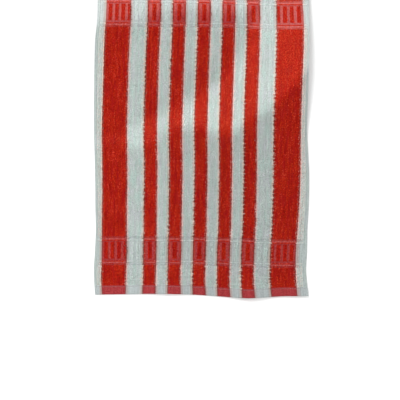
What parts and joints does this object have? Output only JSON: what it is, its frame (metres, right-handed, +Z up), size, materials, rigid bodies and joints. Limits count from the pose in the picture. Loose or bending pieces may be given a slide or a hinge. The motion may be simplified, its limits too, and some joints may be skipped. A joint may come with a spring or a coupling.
{
  "type": "hand towel",
  "caption": "Terry hand towel laid out face up: a softly uneven sheet with lengthwise stripes, a flat-woven band near each end, selvages and sewn hems.",
  "frame": {"origin": "under the middle of the towel, on the surface it lies on", "axes": "+Z up through the cloth, +Y along the towel away from the near hem, +X to the right across its stripes"},
  "size_m": [0.403, 0.617, 0.0179],
  "materials": {
    "terry": "cotton terry, matt, in red and cool white stripes, with paler flat weave in its bands and hems"
  },
  "bodies": {
    "root": {"towel": "terry"}
  },
  "joints": []
}
